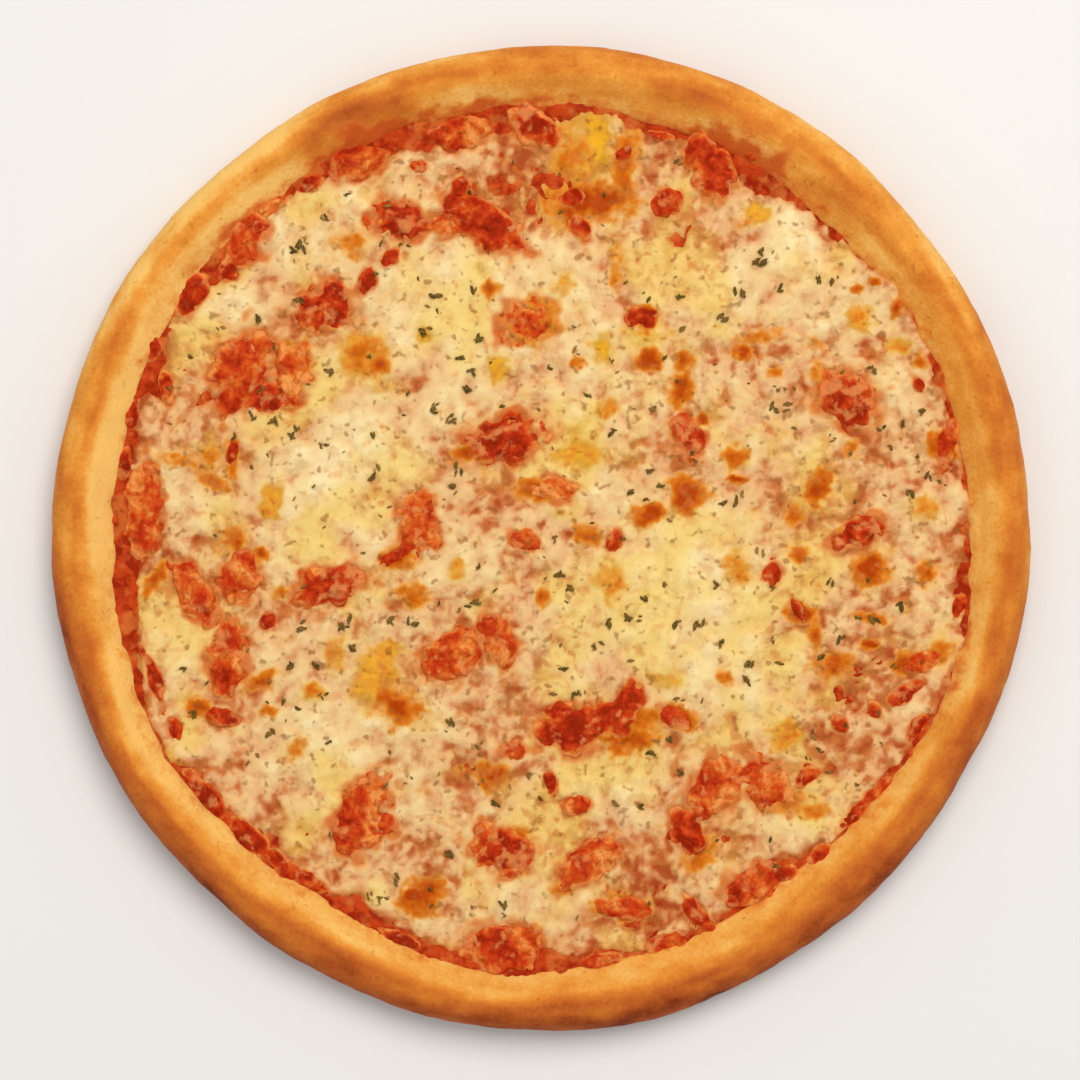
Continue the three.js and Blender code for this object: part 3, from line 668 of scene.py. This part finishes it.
def sauce_finish():
    """Tomato sauce: red pulp with darker specks, oily patches and pale smears."""
    finish = Finish("tomato sauce", **GLOSS)
    pulp = finish.noise(4.2 * MM, 3, 0.55, 0.6)
    fine = finish.noise(1.5 * MM, 2, 0.5)
    oil = finish.noise(7 * MM, 2, 0.5)
    smear = finish.noise(3.4 * MM, 3, 0.5)
    red = finish.over(colour(154, 32, 10), colour(194, 64, 22), pulp, 0.36, 0.62)
    oily = finish.over(red, colour(216, 120, 52), oil, 0.5, 0.66, 0.6)
    specked = finish.over(oily, colour(128, 28, 8), fine, 0.56, 0.7, 0.45)
    smeared = finish.over(specked, colour(214, 110, 56), smear, 0.55, 0.7, 0.45)
    finish.set(Base_Color=smeared, Roughness=0.4 + 0.3 * fine)
    finish.bump(fine + 0.8 * pulp, 0.6 * MM, 0.6)
    return finish.material


def cheese_finish():
    """Melted cheese: cream where thick, orange and red where the sauce shows through, golden on blisters."""
    finish = Finish("melted cheese", Subsurface_Weight=0.1, Subsurface_Radius=(0.003, 0.002, 0.001),
                    Subsurface_Scale=1, **GLOSS)
    warmth = finish.noise(26 * MM, 2, 0.6)
    broad = finish.noise(14 * MM, 2, 0.5)
    shade = finish.noise(6 * MM, 4, 0.65)
    mottle = finish.noise(5 * MM, 2, 0.4, 0.4)
    freckles = finish.noise(4.2 * MM, 2, 0.4, 0.5)
    specks = finish.noise(2.8 * MM, 1, 0.5)
    fine = finish.noise(2 * MM, 2, 0.4)
    cover, browned, yellow = (finish.painted(name) for name in ("cover", "browned", "yellow"))
    thick = finish.rise(cover, 0.42, 0.78)
    thinness = 1.2 - 0.85 * thick
    depth = cover - 0.09 + thinness * (mottle - 0.5) + 0.12 * (fine - 0.5) + 0.5 * (broad - 0.5)
    base = finish.ramp(depth, (0.04, 172, 76, 36), (0.15, 192, 104, 56), (0.26, 209, 136, 82),
                       (0.38, 225, 171, 119), (0.52, 231, 187, 130), (0.68, 237, 205, 146),
                       (0.9, 245, 225, 172))
    sunny = finish.over(base, colour(238, 204, 104), warmth, 0.48, 0.66, 0.62)
    gold = finish.ramp(yellow + 0.9 * (mottle - 0.5) + 0.9 * (specks - 0.5), (0.15, 238, 206, 118),
                       (0.4, 222, 178, 76), (0.65, 212, 154, 44), (0.9, 235, 172, 38))
    golden = finish.over(sunny, gold, yellow + 0.7 * (mottle - 0.5) + 0.3 * (fine - 0.5), 0.0, 0.8)
    halo = finish.painted("oily") + 0.7 * (mottle - 0.5)
    tinted = finish.over(golden, colour(228, 156, 86), halo, 0.1, 0.75, 0.6)
    oily = finish.over(tinted, colour(208, 102, 40), halo, 0.5, 1.05, 0.85)
    spot = browned + 0.7 * (mottle - 0.5) + 0.5 * (fine - 0.5)
    toast = finish.ramp(spot, (0.1, 232, 166, 76), (0.32, 222, 140, 46), (0.55, 207, 107, 18),
                        (0.85, 178, 62, 5))
    toasted = finish.over(oily, toast, spot, 0.0, 0.45)
    freckled = finish.over(toasted, colour(204, 118, 56), freckles, 0.54, 0.69, 0.64 - 0.4 * thick)
    herbed = finish.over(freckled, colour(150, 90, 38), specks, 0.6, 0.75, 0.65)
    dusk = (0.72 - 0.42 * thick) * (1 - 0.8 * browned)
    shaded = finish.over(herbed, colour(177, 105, 48), shade, 0.5, 0.7, dusk)
    finish.set(Base_Color=shaded, Roughness=0.42 + 0.25 * fine - 0.12 * browned)
    finish.bump(0.7 * fine + 0.8 * mottle, 0.55 * MM, 0.55)
    return finish.material


def tomato_finish():
    """Cooked tomato: red to orange pulp, more orange near its edge, with a film of cheese caught on it."""
    finish = Finish("cooked tomato", **GLOSS)
    flesh = finish.noise(6 * MM, 3, 0.55, 0.5)
    fibre = finish.noise(1.8 * MM, 2, 0.55, 0.6)
    seeds = finish.noise(2.8 * MM, 3, 0.55, 0.4)
    tone = finish.painted("tone") + 2.3 * (flesh - 0.5) + 0.6 * (fibre - 0.5)
    red = finish.ramp(tone, (0.05, 150, 32, 8), (0.25, 178, 42, 14), (0.46, 199, 62, 22),
                      (0.65, 209, 88, 30), (0.85, 222, 118, 48), (1.0, 236, 150, 78))
    dark = finish.over(red, colour(142, 38, 8), seeds, 0.53, 0.68, 0.5)
    cling = finish.noise(4.4 * MM, 3, 0.5, 0.3) + 0.12 * finish.painted("film")
    filmed = finish.over(dark, colour(226, 144, 82), cling, 0.58, 0.74, 0.7)
    finish.set(Base_Color=filmed, Roughness=0.36 + 0.3 * fibre)
    finish.bump(0.7 * fibre + 0.8 * flesh, 0.6 * MM, 0.6)
    return finish.material


def herb_finish():
    """Dried herbs: olive green with paler veins, and the driest flakes brown."""
    finish = Finish("dried herbs", **GLOSS)
    vein = finish.noise(1.0 * MM, 3, 0.6)
    green = finish.over(colour(84, 68, 30), colour(128, 100, 46), vein, 0.4, 0.65)
    brown = finish.mix(finish.painted("dry"), green, colour(166, 122, 60))
    finish.set(Base_Color=brown, Roughness=0.6 + 0.2 * vein)
    finish.bump(vein, 0.2 * MM, 0.5)
    return finish.material


# --- Pieces ---


def round_about(places):
    """Distance from the middle of the pizza, and direction, of each place."""
    return np.hypot(places[:, 0], places[:, 1]), np.arctan2(places[:, 1], places[:, 0])


def on_ring(places, radius, level):
    return (abs(places[:, 2] - level) < TOUCHING) & (abs(round_about(places)[0] - radius) < TOUCHING)


def crust():
    """The dough: a disc with its top sunk to a well, a rounded rim, and swells and wrinkles from baking."""
    radius, well, height = (edge(ALL_ROUND).mean() for edge in (outer_edge, well_edge, crest_height))
    piece = primitive(bpy.ops.mesh.primitive_cylinder_add, "crust", vertices=CRUST_SIDES, radius=radius,
                      depth=height, location=(0, 0, height / 2))
    bpy.ops.object.transform_apply(location=True)
    select_where(piece, "FACE", lambda places: places[:, 2] > height - TOUCHING)
    bpy.ops.mesh.inset(thickness=radius - well)
    bpy.ops.mesh.extrude_region_move()
    bpy.ops.transform.translate(value=(0, 0, WELL_FLOOR - height))
    round_rim = (radius - well) / 2 - TOUCHING
    for level, ring, offset, segments in (
        (height, radius, round_rim, RIM_SEGMENTS),
        (height, well, round_rim, RIM_SEGMENTS),
        (0, radius, FOOT_BEVEL, FOOT_SEGMENTS),
        (WELL_FLOOR, well, WELL_BEVEL, WELL_SEGMENTS),
    ):
        select_where(piece, "EDGE", lambda places: on_ring(places, ring, level))
        bpy.ops.mesh.bevel(offset=offset, segments=segments, profile=0.5)
    for level in np.linspace(LOWEST_LOOP, height - round_rim - 0.2 * MM, WALL_LOOPS):
        bpy.ops.mesh.select_all(action="SELECT")
        bpy.ops.mesh.bisect(plane_co=(0, 0, level), plane_no=(0, 0, 1))
    bpy.ops.object.mode_set(mode="OBJECT")
    shape_rim(piece, radius, well, height)
    swell_rim(piece)
    raise_bubbles(piece)
    paint_crust(piece)
    finish_piece(piece, crust_finish(), ["dough"])


def shape_rim(piece, radius, well, height):
    """Brings the round rim to the pizza's own outline, well and crest, and puffs it over the sauce."""
    places = points(piece)
    out, angle = round_about(places)
    share = (out - well) / (radius - well)
    new = np.where(share > 0, well_edge(angle) + share * (outer_edge(angle) - well_edge(angle)),
                   out * well_edge(angle) / well)
    z = places[:, 2]
    puff = 1.6 + 0.9 * layered(places[:, 0], places[:, 1], 18 * MM, 72)
    new -= puff * MM * smooth(share, 0.5, 0) * smooth(z, 6.5 * MM, 10 * MM) * smooth(share, -0.02, 0)
    folds = layered(out * np.cos(angle), out * np.sin(angle), 9 * MM, 74, 2)
    new += 0.4 * MM * folds * smooth(z, 8 * MM, 12 * MM) * smooth(share, 0.6, 0.1)
    slope = LIP_LEVEL + (height - LIP_LEVEL) * smooth(share, 0, 0.5)
    inner = smooth(share, -0.02, 0) * smooth(share, 0.52, 0.45) * smooth(z, 8 * MM, 10 * MM)
    places[:, 2] += 0.55 * inner * (slope - z)
    places[:, 0], places[:, 1] = new * np.cos(angle), new * np.sin(angle)
    places[:, 2] *= 1 + (crest_height(angle) / height - 1) * smooth(share, -0.02, 0.1)
    move_points(piece, places)


def swell_rim(piece):
    """Swells and wrinkles the rim, and leaves the underside and the covered floor flat."""
    places = points(piece)
    out, angle = round_about(places)
    free = smooth(places[:, 2], 0.2 * MM, 6 * MM) * smooth(out - well_edge(angle), -4 * MM, -1 * MM)
    group = piece.vertex_groups.new(name="rim")
    steps = np.round(free * WEIGHT_STEPS).astype(int)
    for step in range(1, WEIGHT_STEPS + 1):
        group.add(np.nonzero(steps == step)[0].tolist(), step / WEIGHT_STEPS, "REPLACE")
    for name, size, depth, push in RIM_SWELLS:
        apply(piece, "DISPLACE", texture=clouds(name, size, depth), strength=push, mid_level=0.5,
              vertex_group="rim", texture_coords="LOCAL")
    piece.vertex_groups.clear()


def raise_bubbles(piece):
    """Small round bubbles of dough on the rim."""
    random = np.random.default_rng(5)
    places = points(piece)
    out, angle = round_about(places)
    upper = smooth(places[:, 2], 6 * MM, 12 * MM)
    for _ in range(RIM_BUBBLES):
        turn = random.uniform(0, 2 * math.pi)
        reach = well_edge(turn) + random.uniform(0.25, 0.95) * (outer_edge(turn) - well_edge(turn))
        size = random.uniform(1.6, 3.4) * MM
        away = np.hypot(places[:, 0] - reach * math.cos(turn), places[:, 1] - reach * math.sin(turn))
        places[:, 2] += random.uniform(0.2, 0.5) * MM * smooth(away, size, 0.3 * size) * upper
    move_points(piece, places)


def facing(angle, degrees, low, high):
    """1 on the side of the pizza that lies in this direction, falling to 0 round the rim from it."""
    return smooth(np.cos(angle - math.radians(degrees)), low, high)


def crept_sauce(angle):
    """How much sauce has crept up the rim in a direction, from 0 to 1."""
    crept = np.zeros(len(angle))
    for turn, spread, strength in CREPT_SAUCE:
        away = (np.degrees(angle) - turn + 180) % 360 - 180
        crept = np.maximum(crept, strength * np.exp(-(away / spread) ** 2))
    return crept


def paint_crust(piece):
    """Paints how browned the crust is, together with painted shade on the sides turned from the key lamp,
    where sauce has stained it, and which of it is underneath.
    """
    x, y, z = points(piece).T
    out, angle = np.hypot(x, y), np.arctan2(y, x)
    share = (out - well_edge(angle)) / (outer_edge(angle) - well_edge(angle))
    # Painted shade together with real browning: the rim is painted browner towards the lower right, and its
    # outer wall browner on the lower side, which faces away from the key lamp
    shaded_and_browned_side = facing(angle, 255, -0.3, 0.6)
    browned = 0.115 + 0.08 * np.cos(angle + math.radians(35)) + 0.34 * smooth(share, 0.2, 0.55)
    browned += 0.16 * shaded_and_browned_side * smooth(share, 0.3, 0.6) + (0.28 * shaded_and_browned_side - 0.12) * smooth(share, 0.6, 0.9)
    browned += 0.3 * smooth(z, 11 * MM, 3 * MM) * smooth(share, 0.5, 0.9)
    # Painted shade: the inner slope on the upper right, which faces away from the key lamp, is painted
    # browner
    browned += 0.13 * facing(angle, 62, 0.4, 0.95) * smooth(share, 0.6, 0.2)
    browned += 0.14 * (np.cos(4 * angle) - 0.3) * smooth(np.sin(angle), 0, 0.4) * smooth(share, 0.55, 0.8)
    stretched = RIM_MIDDLE + STREAK_STRETCH * (out - RIM_MIDDLE)
    streaks = layered(stretched * np.cos(angle), stretched * np.sin(angle), 26 * MM, 78)
    browned += 0.16 * streaks * smooth(share, 0, 0.25)
    browned -= 0.12 * facing(angle, 148, 0.6, 0.95) * smooth(share, 0.3, 0.7)
    browned += 0.06 * facing(angle, 185, 0.6, 0.95) * smooth(share, 0.1, 0.4)
    browned += spots(x, y, BROWN_SMUDGES)
    bottom = smooth(z, 1.5 * MM, 0.3 * MM)
    paint(piece, "browned", browned * (1 - bottom) + 0.45 * bottom)
    paint(piece, "underneath", bottom)
    crept = crept_sauce(angle)
    reach = 0.1 * crept + 0.08 * layered(x, y, 8 * MM, 77)
    foot = smooth(share, reach + 0.16, reach - 0.06) * (0.3 + 0.7 * crept)
    paint(piece, "smeared", 0.8 * foot + 0.8 * spots(x, y, SAUCE_SMEARS))


def on_disc(piece, edge):
    """Bends a square grid that spans -1 to 1 into a disc that reaches to edge(angle)."""
    a, b, _ = points(piece).T
    wide = np.abs(a) > np.abs(b)
    with np.errstate(divide="ignore", invalid="ignore"):
        turn = np.where(wide, np.pi / 4 * b / a, np.pi / 2 - np.pi / 4 * a / b)
    turn = np.nan_to_num(turn)
    share = np.where(wide, a, b)
    x, y = share * np.cos(turn), share * np.sin(turn)
    out, angle = np.hypot(x, y), np.arctan2(y, x)
    mean = edge(ALL_ROUND).mean()
    out = mean * out + (edge(angle) - mean) * out**5
    return out * np.cos(angle), out * np.sin(angle)


def sheet(name, cells, place, height, floor):
    """A closed sheet: place bends a square grid, height gives its top, and its underside is flat."""
    piece = primitive(bpy.ops.mesh.primitive_grid_add, name, x_subdivisions=cells, y_subdivisions=cells,
                      size=2)
    x, y = place(piece)
    move_points(piece, np.stack((x, y, np.maximum(height(x, y), floor + 0.2 * MM)), 1))
    take(piece)
    bpy.ops.object.mode_set(mode="EDIT")
    bpy.ops.mesh.select_all(action="SELECT")
    bpy.ops.mesh.region_to_loop()
    bpy.ops.mesh.extrude_region_move()
    bpy.ops.transform.resize(value=(1, 1, 0), center_override=(0, 0, floor))
    bpy.ops.mesh.edge_face_add()
    bpy.ops.mesh.select_all(action="SELECT")
    bpy.ops.mesh.normals_make_consistent(inside=False)
    bpy.ops.object.mode_set(mode="OBJECT")
    return piece


def over_well(margin):
    """A place for a sheet that fills the well and reaches this far under the rim."""
    return lambda piece: on_disc(piece, lambda angle: well_edge(angle) + margin)


def tomato_sauce():
    piece = sheet("tomato_sauce", SAUCE_CELLS, over_well(3 * MM), sauce_height, SAUCE_FLOOR - 0.2 * MM)
    finish_piece(piece, sauce_finish(), ["sauce"])


def melted_cheese():
    """The sheet of cheese, painted with its thickness, the oil round the tomato, and its blisters."""
    piece = sheet("melted_cheese", CHEESE_CELLS, over_well(0.5 * MM), cheese_height, CHEESE_FLOOR - 1.2 * MM)
    x, y, _ = points(piece).T
    reach = np.minimum(oval_reach(x, y, CHUNKS), oval_reach(x, y, BITS) + 0.2)
    paint(piece, "cover", cheese_cover(x, y) / FULL_COVER)
    paint(piece, "oily", smooth(reach + 0.35 * layered(x, y, 6 * MM, 91, 2), 1.8, 0.95))
    for name, spread, core in (("browned", 1.5, 0.1), ("yellow", 1.8, 0.2)):
        paint(piece, name, over_blisters(
            x, y, lambda blister, reach: getattr(blister, name) * smooth(reach, spread, core)))
    finish_piece(piece, cheese_finish(), ["cheese"])


def tomato_lump(name, cells, oval, rise):
    """One lump of tomato, which reaches a little past its oval, under the cheese."""
    cx, cy, half_length, half_width, turn = oval

    def place(piece):
        u, v = on_disc(piece, lambda angle: np.full_like(angle, LUMP_REACH))
        u, v = u * half_length, v * half_width
        return cx + u * math.cos(turn) - v * math.sin(turn), cy + u * math.sin(turn) + v * math.cos(turn)

    def height(x, y):
        return tomato_height(x, y, oval_reach(x, y, [oval]), rise)

    return sheet(name, cells, place, height, SAUCE_LEVEL - 0.6 * MM)


def paint_tomato(piece, oval, tone, film):
    """Paints how orange the tomato is, and how much cheese clings to it. Both grow towards its edge."""
    x, y, _ = points(piece).T
    rim = smooth(oval_reach(x, y, [oval]), 0.75, 1.15)
    paint(piece, "tone", tone + (0.85 - tone) * rim - spots(x, y, RED_SPOTS))
    paint(piece, "film", film + (0.8 - film) * rim)


def tomato_chunk(node, oval, material):
    """One chunk of tomato, for the solid with its number."""
    number = node[-2:]
    piece = tomato_lump("chunk_" + number, CHUNK_CELLS, oval, CHUNK_RISE)
    tone, film = next((tone, film) for tone, film, numbers in CHUNK_LOOKS if number in numbers)
    paint_tomato(piece, oval, tone, film)
    finish_piece(piece, material, [node])


def tomato_bits(material):
    """The small bits of tomato, joined in one piece."""
    random = np.random.default_rng(3)
    pieces = []
    for oval in BITS:
        bit = tomato_lump("bit", BIT_CELLS, oval, BIT_RISE + random.uniform(-0.4, 0.3))
        paint_tomato(bit, oval, random.uniform(0.1, 0.6), random.uniform(0.1, 0.7))
        pieces.append(bit)
    piece = pieces[0]
    take(piece)
    for bit in pieces:
        bit.select_set(True)
    bpy.ops.object.join()
    piece.name = piece.data.name = "tomato_bits"
    finish_piece(piece, material)


def leaf_scrap(width, seed):
    """Vertices and faces of a curled scrap of dried leaf, closed, 1 long and lying along X at the origin."""
    random = np.random.default_rng(seed)
    rows, columns, thickness = 5, 3, 0.12
    along, across = np.meshgrid(np.linspace(-1, 1, rows), np.linspace(-1, 1, columns), indexing="ij")
    taper = np.sqrt(np.clip(1 - 0.85 * np.abs(along) ** 2.2, 0.05, 1))
    x = along / 2 * (1 + 0.12 * random.normal(size=along.shape))
    y = across * width / 2 * taper * (1 + 0.3 * random.normal(size=along.shape)) + 0.1 * width * along**2
    curl = 0.22 * width * (across**2 + 0.7 * along**2) + 0.05 * width * random.normal(size=along.shape)
    sides = [np.stack((x, y, curl + lift), 2).reshape(-1, 3) for lift in (thickness / 2, -thickness / 2)]
    count = rows * columns
    grid = np.arange(count).reshape(rows, columns)
    faces = []
    for a in grid[:-1, :-1].ravel().tolist():
        b, c, d = a + columns, a + columns + 1, a + 1
        faces += [(a, b, c, d), (d + count, c + count, b + count, a + count)]
    ring = np.concatenate((grid[:, 0], grid[-1, 1:], grid[-2::-1, -1], grid[0, -2:0:-1])).tolist()
    faces += [(b, a, a + count, b + count) for a, b in zip(ring, ring[1:] + ring[:1])]
    return np.concatenate(sides), faces


def lie_of_leaf(x, y):
    """Height of the toppings at a place, and the turn that lays a leaf along their slope there."""
    step = 0.6 * MM
    heights = topping_height(np.array([x, x + step, x]), np.array([y, y, y + step]))
    normal = Vector((heights[0] - heights[1], heights[0] - heights[2], step)).normalized()
    return heights[0], np.array(normal.to_track_quat("Z", "Y").to_matrix())


def herb_flakes():
    """Dried herbs: scraps of leaf of many sizes, scattered over the cheese and lying along its slopes."""
    random = np.random.default_rng(7)
    shapes = [leaf_scrap(0.28 + 0.04 * k, 20 + k) for k in range(FLAKE_SHAPES)]
    vertices, faces, dryness = [], [], []
    while len(dryness) < FLAKE_COUNT:
        out = FLAKE_REACH * math.sqrt(random.uniform()) ** 1.12
        angle = random.uniform(0, 2 * math.pi)
        x, y = out * math.cos(angle), out * math.sin(angle)
        stands_out = len(dryness) < 2 * len(HERB_PLACES)
        if stands_out:
            x, y = (c * MM + random.normal(scale=0.6 * MM) for c in HERB_PLACES[len(dryness) // 2])
        elif oval_reach(x, y, CHUNKS) < 0.9 or noise(x, y, 30 * MM, 17) < random.uniform(-1.2, 0.3):
            continue
        elif random.uniform() < 0.35:
            x, y = (vertices[-1][:, axis].mean() + random.normal(scale=0.9 * MM) for axis in (0, 1))
        length = (2.0 + 1.2 * random.uniform() if stands_out else 0.9 + 2.0 * random.beta(1.4, 2.6)) * MM
        scrap, scrap_faces = shapes[random.integers(FLAKE_SHAPES)]
        turn = random.uniform(0, 2 * math.pi)
        height, tilt = lie_of_leaf(x, y)
        cos, sin = math.cos(turn), math.sin(turn)
        spin = np.array([[cos, -sin, 0], [sin, cos, 0], [0, 0, 1]])
        base = len(vertices) * len(scrap)
        vertices.append(scrap * length @ spin.T @ tilt.T + np.array((x, y, height + 0.15 * MM)))
        faces += [tuple(i + base for i in face) for face in scrap_faces]
        dryness.append(random.uniform() ** 2 * (0.4 if stands_out else 1))
    mesh = bpy.data.meshes.new("herb_flakes")
    mesh.from_pydata(np.concatenate(vertices).tolist(), [], faces)
    piece = placed("herb_flakes", mesh)
    paint(piece, "dry", np.repeat(dryness, len(vertices[0])))
    finish_piece(piece, herb_finish(), ["cheese"])


# --- Setting ---

# The pizza fills this many pixels of the picture's width, at the height of the widest part of its rim
PICTURE_WIDTH = 1080
PIZZA_PIXELS = 979
WIDEST_LEVEL = 0.012

CAMERA_DISTANCE = 1.1
CAMERA_TILT = math.radians(1.5)
CAMERA_TARGET = (-0.0004, -0.0016, 0.01)
SENSOR = 36.0  # in millimetres, as is the lens


def look_at(thing, target):
    """Turns a lamp or camera so that it faces the target."""
    thing.rotation_euler = (Vector(target) - thing.location).to_track_quat("-Z", "Y").to_euler()


def camera():
    data = bpy.data.cameras.new("camera")
    view = placed("camera", data)
    view.location = (0, -CAMERA_DISTANCE * math.sin(CAMERA_TILT), CAMERA_DISTANCE * math.cos(CAMERA_TILT))
    look_at(view, CAMERA_TARGET)
    low, high = cad_box
    frame_width = (high[0] - low[0]) * PICTURE_WIDTH / PIZZA_PIXELS
    data.sensor_width = SENSOR
    data.lens = SENSOR * (CAMERA_DISTANCE - WIDEST_LEVEL) / frame_width
    bpy.context.scene.camera = view


def light(name, place, size, power, tint):
    """A round soft lamp that faces the pizza."""
    data = bpy.data.lights.new(name, "AREA")
    data.shape, data.size, data.energy, data.color = "DISK", size, power, tint
    lamp = placed(name, data)
    lamp.location = place
    look_at(lamp, (0, 0, 0))


def studio():
    """A plain pale floor, two soft lamps and an even white surround."""
    floor = primitive(bpy.ops.mesh.primitive_plane_add, "floor", size=6)
    finish = Finish("pale floor", Base_Color=colour(236, 234, 230), Roughness=0.9)
    floor.data.materials.append(finish.material)
    light("key", (0.28, 0.62, 1.5), 1.1, 17.4, (1.0, 0.97, 0.92))
    light("fill", (-0.9, -0.7, 1.2), 1.2, 2, (0.94, 0.97, 1.0))
    world = bpy.data.worlds.new("studio")
    world.use_nodes = True
    background = world.node_tree.nodes["Background"]
    background.inputs["Color"].default_value = (1, 1, 1, 1)
    background.inputs["Strength"].default_value = 0.5
    bpy.context.scene.world = world
    bpy.context.scene.view_settings.view_transform = "Standard"


camera()
studio()
crust()
tomato_sauce()
melted_cheese()
tomato = tomato_finish()
for node, oval in zip(tomato_nodes, CHUNKS):
    tomato_chunk(node, oval, tomato)
tomato_bits(tomato)
herb_flakes()
